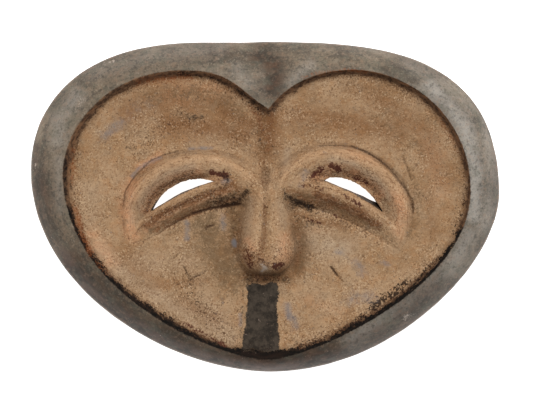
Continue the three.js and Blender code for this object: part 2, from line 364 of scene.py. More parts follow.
# %% Brows, lids and nose
def half_width(form, share, outer):
    """Half the width of a ridge, for outer from -1 on its inner side to +1 on its outer side."""
    return mix(along(form["inner"], share), along(form["outer"], share), (1 + outer) / 2)


def ridge(x, y, line, form, outer_side):
    """A ridge that falls away from its crest by a different slope on either side."""
    d, share, side = nearest(line, x, y)
    width = half_width(form, share, side * outer_side)
    rise = along(form["rise"], share)
    return rise - np.maximum(rise, 1) * (d / width) ** form["power"]


def nose(x, y):
    """Height of the long nose with its rounded tip, and NOWHERE above it and below it."""
    share = (NOSE["top"] - y) / (NOSE["top"] - NOSE["bottom"])
    past_tip = np.clip((NOSE["tip"] - y) / (NOSE["tip"] - NOSE["bottom"]), 0, 1)
    half = along(NOSE["half"], share) * mix(NOSE["end_width"], 1, np.sqrt(1 - past_tip ** 2))
    rise = along(NOSE["rise"], share) * np.sqrt(1 - past_tip ** NOSE["end_power"])
    height = rise - np.maximum(rise, 1) * np.abs((x - NOSE["x"]) / half) ** NOSE["power"]
    return np.where((share >= 0) & (share <= 1), height, NOWHERE)


def relief(x, y):
    """What stands up from the plain face."""
    z = carved(0, nose(x, y))
    for eye in EYES:
        z = carved(z, ridge(x, y, eye["brow_line"], BROW, -eye["side"]))
        z = carved(z, ridge(x, y, eye["lid_line"], LID, eye["side"]))
    return z


print("nose rises", max(NOSE["rise"]), "mm")

# %% The whole front and the whole back
def face_height(x, y, to_lip):
    sunk = DISH_DEPTH * (1 - (1 - np.minimum(to_lip / DISH_RUN, 1)) ** DISH_POWER)
    run = mix(STEP_RUN_LEFT, STEP_RUN, smoothstep(x, *STEP_BLEND))
    return lip_height(x, y) - STEP * smoothstep(to_lip, 0, run) - sunk + relief(x, y)


def front_height(x, y):
    """Height of the front, and the distance to the lip, positive on the face."""
    to_lip = nearest(heart_line, x, y)[0]
    on_face = reach(x, y) < heart_radius(x, y)
    z = np.empty(x.shape)
    z[on_face] = face_height(x[on_face], y[on_face], to_lip[on_face])
    z[~on_face] = frame_height(x[~on_face], y[~on_face], to_lip[~on_face])
    return z, np.where(on_face, to_lip, -to_lip)


def back_height(x, y):
    """Height of the back: a hollow with an arched floor, and nought on the rim round it."""
    share = np.clip(reach(x, y) / (outline_radius(x, y) - BACK_INSET - FLANGE), 0, 1)
    return (HOLLOW_Z + HOLLOW_RISE * share ** 2) * (1 - share ** HOLLOW_POWER)


print("hollow is", float(back_height(*CENTRE)), "mm deep in the middle")

# %% [markdown]
# ## Cuts, dents and scratches
# Small marks of use and of the knife are cut into the height as grooves: a pair of short gashes on the
# cheeks, the line that the carver scored beside the dark stripe, the creases under the lids, the sharp line
# outside each brow with its tail, the valley between the two planes of the nose, and nicks in the rim. A
# groove is the same thing as a ridge turned upside down. They are placed by the column and the row where
# the photograph shows them.

# %% Places in the photograph
MIDDLE_COLUMN = 265
MIDDLE_ROW = 206.7


def from_photo(numbers):
    """Points on the mask in millimetres, for columns and rows of the photograph given in turn."""
    return (np.reshape(numbers, (-1, 2)) - (MIDDLE_COLUMN, MIDDLE_ROW)) * (MM_PER_PIXEL, -MM_PER_PIXEL)


print("first column and row lie at", from_photo([0, 0])[0].round(1), "mm")

# %% Grooves
# Each groove: depth and half width in millimetres, then the columns and rows that its line runs through
GROOVES = [
    (1.7, 5, 265, 172, 265, 205, 264, 226, 262, 250), (0.7, 3.2, 144, 226, 157, 216, 200, 197, 226, 188),
    (0.6, 3.4, 296, 196, 330, 204, 366, 222),
    (1, 1.1, 148, 239, 160, 233, 177, 222, 193, 213.5, 210, 208.5, 227, 206, 240, 204),
    (0.7, 1.2, 292, 201, 311, 207.5, 338, 216, 355, 224, 372, 233, 396, 249),
    (0.4, 1.2, 413, 206, 412.5, 222, 408, 236, 402, 246),
    (0.6, 1.2, 124, 205, 122.5, 218, 125, 230, 130, 240), (1.3, 1.3, 331, 267, 335, 272, 341, 280),
    (0.4, 0.9, 341, 280, 348, 287), (1.1, 1, 184, 268, 188, 275, 194, 286),
    (0.8, 1.1, 190, 279, 197, 275, 206, 271), (0.35, 0.7, 171, 259, 176, 256, 181, 252),
    (0.6, 1.1, 205, 229, 208, 226, 213, 225), (0.55, 0.7, 246.5, 286, 244.5, 300, 243, 325, 240, 350),
    (0.45, 1.2, 402, 157, 406, 168, 410, 179), (0.35, 1, 417, 187, 424, 197),
    (0.3, 1.2, 268, 112, 266, 130, 269, 146), (0.5, 1, 36, 160, 36, 170), (0.5, 1.4, 108, 63, 116, 61),
    (0.6, 1, 371, 197, 376, 203),
]
BROW_LINE_DEPTH = 0.6
BROW_LINE_HALF = 0.9
BROW_LINE_SHARES = {-1: (0.12, 0.42), 1: (0.1, 0.72)}
LINE_FADE = 0.08


def groove_depth(x, y):
    depth = np.zeros(x.shape)
    for deep, half, *line in GROOVES:
        d = nearest(from_photo(line), x, y)[0]
        depth = np.maximum(depth, deep * (1 - np.clip(d / half, 0, 1) ** 2) ** 2)
    for eye in EYES:
        d, share, side = nearest(eye["brow_line"], x, y)
        start, end = BROW_LINE_SHARES[eye["side"]]
        shown = smoothstep(share, start, start + LINE_FADE) * (1 - smoothstep(share, end - LINE_FADE, end))
        outside = side * -eye["side"] > 0
        off = np.abs(d - along(BROW["outer"], share)) / BROW_LINE_HALF
        depth = np.maximum(depth, BROW_LINE_DEPTH * shown * outside * np.clip(1 - off, 0, 1))
    return depth


print("grooves:", len(GROOVES), "and a line beside each brow")

# %% [markdown]
# ## From heights to a closed skin
# The front is a cloud of points a millimetre apart, joined by a Delaunay triangulation that is made to keep
# the rim and the slits as edges. The back gets a coarser cloud of its own. Rings of points down the side
# and through the slits then sew the two together, so the skin has no gap and a true wall thickness. A
# remesh would close it too, but it would blur the lip and the slit edges, which are the sharpest lines of
# the mask.

# %% An uneven outline
SEED = 8
FRONT_STEP = 1.0
WAVER = 0.25
WAVER_LENGTH = 26
rng = np.random.default_rng(SEED)


def unevenness(count, length, rng):
    """A smooth closed run of random numbers from 0 to 1, as a hand-cut edge wavers."""
    knots = rng.random(max(4, round(count / length)))
    at = np.linspace(0, len(knots), count, endpoint=False)
    low = at.astype(int)
    share = smoothstep(at - low, 0, 1)
    return mix(knots[low], knots[(low + 1) % len(knots)], share)


def inset(points, distance):
    """Points moved towards CENTRE by a distance."""
    away = points - CENTRE
    length = np.hypot(*away.T)[:, None]
    return CENTRE + away * (1 - np.reshape(distance, (-1, 1)) / length)


outline = trace(OUTLINE, FRONT_STEP)[:-1]
outline = inset(outline, WAVER * unevenness(len(outline), WAVER_LENGTH, rng))
front_rim = inset(outline, CORNER)
back_rim = inset(outline, BACK_INSET)
print("rim has", len(outline), "points")

# %% The slits as rings of points
SLIT_WAVER = 0.16
SLIT_TOP_LIFT = 1.5
SLIT_BOTTOM_LIFT = 1
SHIFT_POWER = 3


def slit_rings(eye):
    """The slit as a clockwise ring of points on the front, and the ring it comes out by on the back."""
    top, bottom = trace(eye["slit_top"], FRONT_STEP), trace(eye["slit_bottom"], FRONT_STEP)
    front = np.vstack([top, bottom[1:-1][::-1]])
    outer, inner = top[0], top[-1]
    inwards, upwards = eye["shift"]
    share = np.clip((inner[0] - front[:, 0]) / (inner[0] - outer[0]), 0, 1)
    most_lift = np.where(np.arange(len(front)) < len(top), SLIT_TOP_LIFT, SLIT_BOTTOM_LIFT)
    lift = most_lift * np.sin(math.pi * share) + upwards * share ** SHIFT_POWER
    shift = np.column_stack([-eye["side"] * inwards * share, lift])
    back = front + shift
    front = front + rng.normal(0, SLIT_WAVER, front.shape)
    if eye["side"] > 0:
        return front[::-1], back[::-1]
    return front, back


slits = [slit_rings(eye) for eye in EYES]
front_slits = [front for front, back in slits]
back_slits = [back for front, back in slits]
print("slits have", [len(ring) for ring in front_slits], "points")

# %% A cloud of points for the front and for the back
BACK_STEP = 1.9
LINE_GAP = 0.55


def lattice(spacing):
    """Points in even triangles over the whole mask."""
    row_step = spacing * math.sqrt(3) / 2
    rows, columns = math.ceil(HALF_Y / row_step), math.ceil(HALF_X / spacing)
    column, row = np.meshgrid(np.arange(-columns, columns + 1), np.arange(-rows, rows + 1))
    return np.column_stack([((column + (row % 2) / 2) * spacing).ravel(), (row * row_step).ravel()])


def inside(polygon, x, y):
    """True for the places that lie inside a closed ring of points."""
    odd = np.zeros(x.shape, bool)
    for (ax, ay), (bx, by) in zip(polygon, np.roll(polygon, -1, axis=0)):
        if ay != by:
            crosses = ((ay > y) != (by > y)) & (x < ax + (y - ay) * (bx - ax) / (by - ay))
            odd ^= crosses
    return odd


def cloud(spacing, margin, rings, lines):
    """The rings and lines, then the lattice points that keep clear of them."""
    points = lattice(spacing)
    x, y = points.T
    keep = reach(x, y) < outline_radius(x, y) - margin - LINE_GAP * spacing
    for ring in rings:
        keep &= ~inside(ring, x, y)
    for line in [np.vstack([ring, ring[:1]]) for ring in rings] + lines:
        near = np.flatnonzero(keep)
        keep[near[nearest(line, x[near], y[near])[0] < LINE_GAP * spacing]] = False
    return np.vstack(rings + [line[:-1] for line in lines] + [points[keep]])


front_points = np.vstack([front_rim, cloud(FRONT_STEP, CORNER, front_slits, [trace(HEART, FRONT_STEP)])])
back_points = np.vstack([back_rim, cloud(BACK_STEP, BACK_INSET, back_slits, [])])
print("front has", len(front_points), "points and the back", len(back_points))

# %% Triangles between the points
MERGE_LIMIT = 1e-7


def skin(points, rim, slits):
    """Triangles of the points, less those outside the rim or in a slit."""
    edges = []
    start = 0
    for ring in [rim, *slits]:
        edges += [(start + i, start + (i + 1) % len(ring)) for i in range(len(ring))]
        start += len(ring)
    found = delaunay_2d_cdt([Vector(p) for p in points], edges, [], 0, MERGE_LIMIT)
    triangles = np.array(found[2])
    assert len(found[0]) == len(points)
    x, y = points[triangles].mean(axis=1).T
    keep = inside(rim, x, y)
    for slit in slits:
        keep &= ~inside(slit, x, y)
    return triangles[keep]


front_triangles = skin(front_points, front_rim, front_slits)
back_triangles = skin(back_points, back_rim, back_slits)
print("front", len(front_triangles), "and back", len(back_triangles), "triangles")

# %% Parts to sew together
# Each ring of the side: distance in from the outline, and how far it has fallen from the rim to the shoulder
SIDE_RINGS = [(0.75, 0.2), (0.35, 0.48), (0.1, 0.76), (0, 1)]
# Each ring below the shoulder: distance in from the outline, and height
LOWER_SIDE = [
    (0.05, 13), (0.15, 11.4), (0.3, 9.8), (0.5, 8.2), (0.7, 6.6), (1, HEEL_Z), (1.5, 3.4), (2.2, 1.9),
    (3.1, 0.7),
]
SHOULDER_Z = EDGE_Z - 2 * CORNER
SLIT_RINGS = 9

front_z, to_lip = front_height(*front_points.T)
front_z -= groove_depth(*front_points.T)
back_z = back_height(*back_points.T)

parts = []
faces = []
count = 0


def add(points, z):
    """Adds points and returns the number of the first."""
    global count
    parts.append(np.column_stack([points, np.broadcast_to(z, len(points))]))
    count += len(points)
    return count - len(points)


def wall(lower, upper, size):
    """Joins two rings of points, given by the number of their first one, with triangles."""
    i = np.arange(size)
    j = (i + 1) % size
    faces.append(np.column_stack([lower + i, upper + i, lower + j]))
    faces.append(np.column_stack([lower + j, upper + i, upper + j]))


print("front is", round(float(front_z.min()), 1), "to", round(float(front_z.max()), 1), "mm high")

# %% Sew the front, the side, the back and the slits together
front_start = add(front_points, front_z)
back_start = add(back_points, back_z)
faces.append(front_start + front_triangles)
faces.append(back_start + back_triangles[:, ::-1])
side_start = count
upper = front_start
rim_z = front_z[:len(outline)]
upper_side = [(distance, mix(rim_z, SHOULDER_Z, fallen)) for distance, fallen in SIDE_RINGS]
for distance, z in upper_side + LOWER_SIDE:
    lower = add(inset(outline, distance), z)
    wall(lower, upper, len(outline))
    upper = lower
wall(back_start, upper, len(outline))
side_end = count
ring_start = len(outline)
for front, back in slits:
    n = len(front)
    upper = front_start + ring_start
    for step in range(1, SLIT_RINGS):
        share = step / SLIT_RINGS
        z = mix(front_z[ring_start:ring_start + n], back_z[ring_start:ring_start + n], share)
        lower = add(mix(front, back, share), z)
        wall(upper, lower, n)
        upper = lower
    wall(upper, back_start + ring_start, n)
    ring_start += n

points = np.vstack(parts)
faces = np.vstack(faces)
mesh = bpy.data.meshes.new("mask_carving")
mesh.from_pydata(points * MM, [], faces)
mesh.polygons.foreach_set("use_smooth", np.ones(len(faces), bool))
carving = bpy.data.objects.new("mask_carving", mesh)
bpy.context.collection.objects.link(carving)
print("skin has", len(points), "points and", len(faces), "triangles")

# %% [markdown]
# ## What the paint needs to know
# Paint on a carving follows its forms: ochre lies on the sunk face, a dark line runs round its foot, painted
# shade is laid in the creases, and the crests are painted lighter as a painted highlight. Each of these is
# measured once for every point of the skin and kept as an attribute, which the material reads. A painted
# image would do the same, but attributes need no unwrapping and stay sharp at every size.

# %% Creases and crests
CREASE_BLUR = 3.0
CREST_BLUR = 5.0
GRID_STEP = 1.5
LEAST_WEIGHT = 1e-3
LAST_CELL = 1.001


def blurred(values, weight, sigma):
    """A Gaussian blur of a grid, taken over the places that have weight."""
    fy = np.fft.fftfreq(values.shape[0])[:, None]
    fx = np.fft.rfftfreq(values.shape[1])[None, :]
    kernel = np.exp(-2 * (math.pi * sigma / GRID_STEP) ** 2 * (fx ** 2 + fy ** 2))
    total = np.fft.irfft2(np.fft.rfft2(values * weight) * kernel, values.shape)
    return total / np.maximum(np.fft.irfft2(np.fft.rfft2(weight) * kernel, values.shape), LEAST_WEIGHT)


def on_grid(grid, x, y):
    """Reads a grid between its points."""
    column = np.clip((x + HALF_X) / GRID_STEP, 0, grid.shape[1] - LAST_CELL)
    row = np.clip((y + HALF_Y) / GRID_STEP, 0, grid.shape[0] - LAST_CELL)
    i, j = row.astype(int), column.astype(int)
    low = mix(grid[i, j], grid[i, j + 1], column - j)
    high = mix(grid[i + 1, j], grid[i + 1, j + 1], column - j)
    return mix(low, high, row - i)


grid_x, grid_y = np.meshgrid(np.arange(-HALF_X, HALF_X, GRID_STEP), np.arange(-HALF_Y, HALF_Y, GRID_STEP))
grid_z = front_height(grid_x, grid_y)[0]
on_mask = (reach(grid_x, grid_y) < outline_radius(grid_x, grid_y)).astype(float)
crease_z = blurred(grid_z, on_mask, CREASE_BLUR)
crest_z = blurred(grid_z, on_mask, CREST_BLUR)
print("grid has", grid_z.size, "places")

# %% One number for each point
x, y, z = points.T
is_front = np.zeros(len(points), bool)
is_front[:len(front_points)] = True
fx, fy = x[is_front], y[is_front]
side_z = z[side_start:side_end]


def store(name, values):
    """Keeps one number or one vector for each point of the skin."""
    kind, field = ("FLOAT", "value") if values.ndim == 1 else ("FLOAT_VECTOR", "vector")
    mesh.attributes.new(name, kind, "POINT").data.foreach_set(field, values.astype(np.float32).ravel())


def keep(name, front, rest, side=None, slit=None):
    """Stores a number that each point of the front has to itself, and all the other points share."""
    values = np.full(len(points), float(rest))
    values[is_front] = front
    if side is not None:
        values[side_start:side_end] = side
    if slit is not None:
        values[side_end:] = slit
    store(name, values)


print("front", len(fx), "side", len(side_z), "of", len(points), "points")

# %% Distances that the paint follows
CREASE_FULL = 1.6
CREST_FULL = 3.0
FAR_OUTSIDE = -30
HEEL_GAP = 1
SIDE_PAINT = (0.5, 3)
SLIT_PAINT = 0.5
HOLLOW_PAINT = (0, 3)
# Width of the dark line at the foot of the lip, at even steps round the heart from its notch, clockwise
FOOT_LINE = [
    3.0, 2.8, 2.6, 2.6, 2.6, 2.6, 2.2, 2.3, 2.7, 3.4, 3.2, 2.8, 5.6, 3.0, 3.6, 3.2, 2.6, 3.0, 4.0, 4.4, 3.4,
    3.0, 3.3, 3.4, 2.6,
]
# The border of the stripe, as columns and rows of the photograph
STRIPE = [
    246.5, 285, 254, 283, 263, 284.5, 271, 281.5, 277.5, 283, 279, 292, 277.5, 302, 277, 312, 278, 322,
    279.5, 334, 279, 346, 282, 360, 240, 360, 241.5, 348, 245, 325, 247.5, 302,
]


def signed_distance(polygon, x, y):
    """Distance to the border of a polygon, positive inside."""
    d = nearest(np.vstack([polygon, polygon[:1]]), x, y)[0]
    return np.where(inside(polygon, x, y), d, -d)


heart_share = nearest(heart_line, fx, fy)[1]
to_rim = nearest(outline_line, fx, fy)[0]
keep("past_lip", to_lip, FAR_OUTSIDE)
keep("past_foot_line", to_lip - along(FOOT_LINE, heart_share), FAR_OUTSIDE)
keep("stripe", signed_distance(from_photo(STRIPE), fx, fy), FAR_OUTSIDE)
keep("from_rim", to_rim, 0, side=np.minimum(EDGE_Z - side_z, side_z + HEEL_GAP))
# How deep each place lies in a crease, for painted shade in the creases
keep("crease_shade", np.clip((on_grid(crease_z, fx, fy) - front_z) / CREASE_FULL, 0, 1), 0)
# How high each place stands on a crest, for a painted highlight on the crests
keep("crest", np.clip((front_z - on_grid(crest_z, fx, fy)) / CREST_FULL, 0, 1), 0)
keep("front", 1, 0, side=smoothstep(side_z, *SIDE_PAINT), slit=SLIT_PAINT)
hollow = np.zeros(len(points))
hollow[back_start:back_start + len(back_points)] = smoothstep(back_z, *HOLLOW_PAINT)
store("hollow", hollow)
print("the paint line runs", round(float(line_length(heart_line))), "mm round the heart")

# %% [markdown]
# ## Stains, worn places, painted shade and painted light
# Age leaves its own map. The ochre is rubbed thin, pitted, crumbled at its lower border, chalky or rosy in
# places, and umber earth and remains of an older dark red coat show through it. Soot, smoke and grime lie
# in the deep corners, and the frame is scuffed, rusty, darker in places towards its lower left, its bottom
# and its outer edges, and given a pale, cool painted sheen, mostly on its right. Some of the rubbed, grime,
# soot, umber and scored strokes are painted shade, beside and under the nose, under the lids, along the
# creases and on the slit walls, and some of the chalky and rosy strokes are painted light on the brows and
# the flanks of the nose. Each kind is a list of soft brush strokes, laid where the photograph shows them,
# and the material breaks their edges up with grain.

# %% Strokes of wear, painted shade and painted light
# Each stroke: strength, half width in pixels, then the columns and rows that it runs through
STROKES = {
    # Rubbed: ochre worn thin, and painted shade beside and under the nose and along the lid creases
    "rubbed_and_painted_shade": [
        (1, 13, 268, 116, 267, 148), (0.8, 8, 262, 130, 240, 120, 225, 112),
        (0.75, 12, 165, 124, 205, 128, 245, 134), (0.65, 16, 130, 112, 170, 100, 225, 104),
        (0.6, 13, 295, 118, 345, 122, 400, 132), (0.5, 12, 375, 98, 420, 130, 440, 175),
        (0.35, 8, 350, 88, 380, 92), (0.35, 5, 141, 208, 148, 192, 164, 178, 190, 172, 216, 177),
        (0.3, 6, 306, 186, 322, 172, 346, 170, 374, 188),
        (0.9, 3.6, 144, 226, 157, 216, 200, 197, 226, 188), (0.8, 5, 214, 178, 232, 184, 240, 192),
        (0.7, 4, 296, 214, 318, 222, 344, 226), (0.6, 6, 292, 198, 330, 205, 366, 222),
        (0.5, 2.6, 265, 204, 264, 236), (0.6, 7, 246, 256, 262, 264),
        (0.8, 9, 234, 212, 236, 232, 236, 250), (0.7, 8, 298, 224, 302, 246, 296, 270),
        (0.9, 7, 248, 276, 266, 279, 286, 276), (0.45, 5, 150, 286, 180, 284, 205, 280),
        (0.4, 12, 150, 280, 128, 256), (0.45, 8, 180, 300, 215, 318), (0.4, 7, 430, 190, 432, 235),
    ],
    "pitted": [
        (1, 9, 88, 258, 130, 300, 170, 326, 222, 346), (0.8, 6, 120, 92, 160, 78, 200, 74),
        (0.7, 6, 320, 74, 380, 78, 430, 108, 456, 146), (0.5, 12, 140, 140, 180, 120),
        (0.5, 9, 250, 130, 232, 150), (0.8, 14, 190, 296, 210, 316, 230, 338),
        (0.9, 6, 150, 212, 156, 196, 170, 184, 192, 176), (0.9, 9, 300, 345, 350, 325, 400, 296, 432, 262),
        (0.7, 6, 77, 150, 78, 200, 86, 245), (0.6, 6, 462, 150, 464, 190, 456, 230),
        (0.7, 6, 210, 78, 240, 95, 262, 112), (0.8, 8, 308, 180, 330, 168, 372, 182, 386, 205),
        (0.7, 5, 160, 214, 200, 194, 232, 182), (0.8, 7, 296, 206, 330, 214, 366, 230),
        (1, 9, 250, 250, 266, 262, 286, 252), (0.7, 6, 248, 276, 266, 279, 286, 277),
        (0.5, 6, 266, 165, 265, 210), (0.5, 7, 176, 276, 205, 284),
    ],
    "smoky": [
        (0.6, 8, 104, 136, 122, 123), (0.35, 12, 122, 123, 148, 105),
        (0.7, 3, 133, 176, 140, 168, 152, 161, 160, 158), (0.7, 2.4, 190, 149, 212, 148),
        (0.7, 4, 187, 222, 187, 238), (1, 3.4, 234, 241, 235, 245), (0.6, 5, 222, 216, 224, 228),
        (0.75, 6, 287, 306, 290, 318), (0.6, 7, 291, 316, 296, 326), (0.7, 5, 337, 252, 341, 253),
        (0.6, 7, 356, 262, 362, 272), (0.7, 4, 382, 262, 388, 264), (0.55, 10, 352, 300, 370, 296),
        (0.7, 3, 240, 315, 241, 325), (0.5, 6, 306, 172, 300, 184), (0.7, 4, 223, 182, 229, 181),
    ],
    "dark_red": [
        (1, 4.2, 212, 173, 219, 175, 226, 175), (1, 4.4, 331, 166, 338, 169), (0.9, 4, 312, 177, 322, 168),
        (0.8, 3.6, 354, 177, 366, 183), (0.7, 3.4, 300, 184, 310, 186, 322, 190),
        (0.7, 3.4, 344, 196, 360, 205), (1, 4.2, 275, 266, 281, 264), (0.8, 4, 246, 256, 251, 266),
        (0.6, 3, 247, 250, 249, 256), (0.7, 2.6, 182, 321, 202, 332, 226, 345),
        (0.5, 2, 300, 204, 306, 208), (0.7, 2.6, 306, 219, 320, 223), (0.6, 2.4, 334, 215, 342, 219),
    ],
    "rusty": [
        (0.6, 4.5, 74, 150, 73, 185), (0.75, 5, 76, 205, 82, 232, 92, 252), (0.5, 4, 98, 262, 106, 270),
        (0.7, 2.4, 302, 79, 316, 74, 345, 70, 366, 73), (0.7, 6, 140, 84, 158, 80, 190, 78),
        (0.5, 4, 440, 120, 456, 150),
    ],
    # Scored: dark cut lines, and painted shade along the creases under the lids and outside the brows
    "scored_and_crease_shade": [
        (0.95, 1.7, 331, 267, 333, 270, 337, 275), (0.45, 1.1, 339, 277, 343, 281, 348, 286),
        (0.7, 1.4, 184, 266, 187, 273, 190, 280), (0.8, 1.5, 190, 280, 196, 276, 200, 275),
        (0.55, 1.3, 200, 275, 206, 272), (0.6, 1.3, 177, 284, 184, 281, 190, 280),
        (0.6, 1.3, 171, 259, 176, 256, 181, 252), (0.85, 1.9, 206, 229, 208, 226.5, 213, 225.5),
        (0.65, 2.2, 403, 158, 405, 163), (0.6, 1.6, 405, 163, 408, 171, 411, 180),
        (0.5, 1.8, 414, 187, 419, 192, 424, 197), (0.5, 1.9, 133, 243, 148, 239, 160, 233, 177, 222),
        (0.7, 1.8, 177, 222, 193, 213.5), (1, 2.1, 193, 213.5, 210, 208.5, 227, 206, 240, 204),
        (0.6, 1.3, 311, 207.5, 338, 216, 355, 224, 372, 233, 388, 244),
        (0.75, 1.3, 124, 205, 126, 190, 135, 176.5, 151, 160.5, 164, 155, 178, 151),
        (0.7, 1.2, 319, 146, 338, 145.5, 352, 146.5),
        (0.9, 1.6, 352, 146.5, 366, 152, 379, 160, 390, 169.5),
        (0.75, 2.2, 390, 169.5, 398, 180, 406, 190, 412, 201, 413, 212),
        (0.4, 1.6, 413, 212, 412, 224, 408, 236, 402, 246), (0.5, 1.3, 388, 244, 396, 249),
        (0.45, 1.5, 124, 205, 122.5, 218, 125, 230, 130, 240), (0.55, 1.3, 144, 224, 138, 231, 134, 240),
    ],
    "charred": [
        (1, 9, 66, 212, 86, 252, 116, 286, 168, 322), (0.8, 8, 178, 328, 206, 343, 232, 354),
        (1, 9, 240, 356, 266, 359, 330, 342, 390, 308), (0.8, 7, 390, 308, 430, 275, 460, 232),
        (0.3, 6, 460, 232, 470, 200, 466, 150), (0.5, 4, 66, 140, 66, 205),
        (1, 8, 238, 352, 266, 355, 294, 350), (0.3, 4, 300, 82, 350, 74, 395, 82),
        (0.5, 5, 175, 74, 215, 80, 262, 106), (0.1, 5, 90, 112, 120, 88, 150, 78),
    ],
    "crumbled": [
        (0.9, 5, 352, 324, 372, 308), (0.95, 7.5, 372, 306, 390, 294, 406, 284),
        (0.6, 4, 408, 285, 426, 270, 444, 250), (0.45, 3, 450, 238, 461, 212, 465, 180, 462, 150),
        (0.8, 5, 126, 292, 150, 308, 174, 320), (0.6, 4, 300, 344, 330, 336), (0.5, 9, 190, 288, 196, 300),
        (0.5, 4, 210, 78, 236, 92, 256, 108), (0.35, 4, 92, 262, 110, 280),
    ],
    # Umber: brown earth under the brows, and painted shadow below and to the right of the nose
    "umber_and_painted_shade": [
        (0.8, 4, 146, 212, 152, 198, 164, 186, 186, 176, 208, 176),
        (0.6, 4.5, 308, 184, 320, 174, 340, 170, 366, 182, 380, 200),
        (1, 4.5, 146, 226, 158, 218, 180, 206, 208, 196, 230, 189),
        (0.75, 6, 158, 230, 176, 220, 200, 210, 236, 200), (1, 6, 316, 194, 340, 204, 360, 213, 378, 226),
        (0.6, 7, 290, 192, 310, 200, 336, 208), (0.3, 8, 336, 208, 360, 222, 384, 238),
        (0.8, 6, 246, 250, 252, 262), (0.5, 5, 262, 250, 266, 262, 280, 264),
        (0.6, 7, 266, 280, 250, 278, 284, 278), (0.5, 5, 296, 222, 300, 246, 296, 268),
        (0.5, 6, 262, 160, 264, 186), (0.55, 3.4, 265, 206, 265, 236), (0.7, 6, 263, 240, 260, 256),
        (0.45, 9, 268, 116, 266, 146), (0.8, 4, 250, 106, 259, 118, 262, 134),
        (0.7, 3.5, 272, 114, 270, 132, 267, 150), (0.35, 12, 180, 122, 230, 128),
    ],
    # Rosy: pinkish ochre, and painted light on the brows, under the brows and on the nose
    "rosy_and_painted_light": [
        (1, 6.5, 132, 182, 126, 204, 128, 224, 134, 236), (0.7, 5, 140, 168, 160, 156),
        (0.9, 6, 395, 194, 402, 214, 398, 232), (1, 5, 146, 208, 156, 192, 172, 180, 198, 173),
        (1, 5, 318, 178, 334, 168, 356, 174, 380, 194), (0.7, 4, 148, 230, 170, 214, 200, 201, 224, 194),
        (0.35, 6, 345, 152, 372, 160), (0.8, 4, 247, 240, 253, 250), (0.6, 8, 92, 236, 112, 262),
        (0.7, 6, 285, 238, 284, 258), (0.5, 10, 168, 94, 215, 90), (0.25, 8, 310, 300, 340, 312),
        (0.3, 9, 430, 140, 440, 190),
    ],
    # Chalky: pale smears, and painted light on the flanks of the nose and under the brows
    "chalky_and_painted_light": [
        (0.7, 12, 304, 240, 345, 248), (0.6, 15, 204, 312, 226, 336),
        (0.6, 9, 100, 250, 128, 276, 170, 304, 210, 330), (0.7, 5, 288, 150, 285, 163),
        (0.4, 12, 140, 262, 188, 262), (0.5, 6, 374, 178, 380, 186), (0.35, 10, 92, 190, 92, 226),
        (0.7, 4, 131, 192, 129, 208, 131, 224), (0.8, 5, 140, 206, 150, 190, 166, 176, 192, 168),
        (0.75, 4, 330, 160, 352, 164, 376, 180, 388, 196), (0.8, 4, 261, 263, 266, 268, 262, 271),
        (0.4, 5, 278, 252, 284, 240), (0.45, 5, 251, 200, 247, 226, 246, 244),
        (0.4, 5, 280, 204, 284, 226),
    ],
    # Soot: dark smudges, and painted shade in the corners beside the nose under the lids and under the nose
    "soot_and_painted_shade": [
        (1, 5, 222, 206, 238, 202.5, 247, 192), (0.8, 8, 214, 202, 240, 197),
        (0.5, 4, 200, 211, 222, 206, 240, 203), (1, 5.4, 289, 198, 298, 203, 311, 208),
        (0.7, 3.4, 284, 190, 290, 202), (0.7, 3.6, 296, 217, 306, 221, 318, 225),
        (0.75, 1.5, 213, 181, 190, 189, 170, 198, 152, 210),
        (0.75, 1.6, 325, 180, 345, 189, 362, 198, 380, 208), (0.8, 2.6, 370, 199, 378, 206),
        (0.7, 4, 222, 175, 230, 178, 226, 184), (0.6, 4, 312, 180, 320, 184), (0.5, 6, 250, 280, 284, 280),
        (0.6, 2.4, 257, 132, 259, 139), (0.7, 2.4, 271, 146, 274, 147), (0.6, 5, 182, 116, 203, 119),
        (0.5, 4.5, 130, 148, 150, 142), (0.6, 1.2, 243, 290, 240, 350),
        (0.9, 5, 244, 353, 266, 357, 284, 353), (0.5, 7, 250, 346, 268, 350),
    ],
    "scuffed": [
        (0.9, 1.4, 110, 62.5, 115, 61), (0.5, 1.2, 104, 65, 108, 64), (0.8, 1.2, 36, 163, 36, 168),
        (0.55, 3.4, 404, 317, 411, 314), (0.4, 4, 80, 105, 84, 98),
        (0.8, 2.2, 261, 264, 266, 268, 262, 271),
    ],
    "dusky": [
        (1, 22, 64, 268, 96, 308, 146, 342, 185, 356), (0.6, 14, 40, 180, 48, 240),
        (1, 12, 84, 308, 118, 334, 160, 358, 206, 372, 246, 377),
        (1, 19, 185, 358, 230, 368, 268, 370, 330, 362), (0.5, 16, 330, 362, 380, 336, 410, 314, 440, 290),
        (0.8, 12, 262, 58, 276, 66, 272, 90), (0.25, 10, 110, 72, 170, 60, 230, 52),
        (0.5, 8, 36, 150, 40, 200), (0.5, 9, 500, 150, 500, 220, 480, 262), (0.3, 8, 400, 56, 440, 72),
    ],
    # Painted sheen: a pale, cool shine laid on the frame, mostly on its right
    "painted_sheen": [
        (1, 10, 430, 88, 464, 126, 474, 175, 472, 215), (0.35, 9, 410, 66, 444, 84, 470, 112),
        (0.55, 9, 58, 140, 60, 118, 78, 96), (0.3, 5, 60, 160, 60, 210), (0.3, 7, 248, 84, 236, 66),
        (0.3, 8, 90, 76, 150, 58, 220, 50), (0.4, 7, 290, 84, 310, 66),
        (0.7, 9, 468, 235, 450, 266, 412, 300, 350, 340), (0.5, 12, 488, 120, 494, 170, 484, 225),
    ],
    # Grime, and painted shade: a dark veil beside and under the nose, under the lids and along the lid creases
    "grime_and_painted_shade": [
        (0.7, 5, 240, 212, 236, 228, 233, 246), (0.9, 18, 206, 224, 216, 250, 230, 278),
